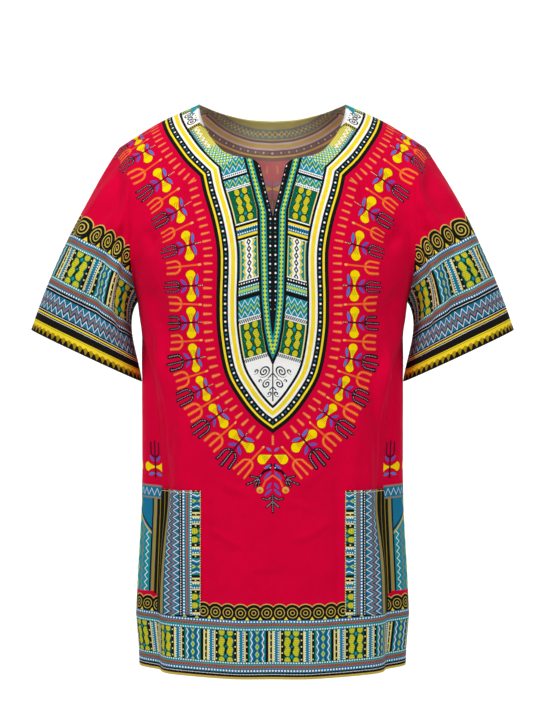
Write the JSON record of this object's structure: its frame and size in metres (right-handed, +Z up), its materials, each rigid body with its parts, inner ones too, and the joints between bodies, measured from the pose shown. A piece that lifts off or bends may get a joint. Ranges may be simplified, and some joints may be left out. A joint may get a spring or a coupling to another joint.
{
  "type": "dashiki shirt",
  "caption": "Worn-form dashiki shirt, hollow and open at neck, hem and cuffs, with a neck slit, dropped short sleeves and patch pockets.",
  "frame": {"origin": "middle between the high points of the two shoulder seams, at the neck opening, where the wearer's shoulders hold the shirt up", "axes": "+Z up, -Y out of the shirt's front, +X towards the right-hand side of someone who looks at the front"},
  "size_m": [0.654, 0.2672, 0.765],
  "materials": {
    "printed_cotton": "matte printed plain weave",
    "printed_pocket_cotton": "matte printed plain weave"
  },
  "bodies": {
    "root": {"front": "printed_cotton", "back": "printed_cotton", "sleeve_left": "printed_cotton", "sleeve_right": "printed_cotton", "pocket_left": "printed_pocket_cotton", "pocket_right": "printed_pocket_cotton"}
  },
  "joints": []
}
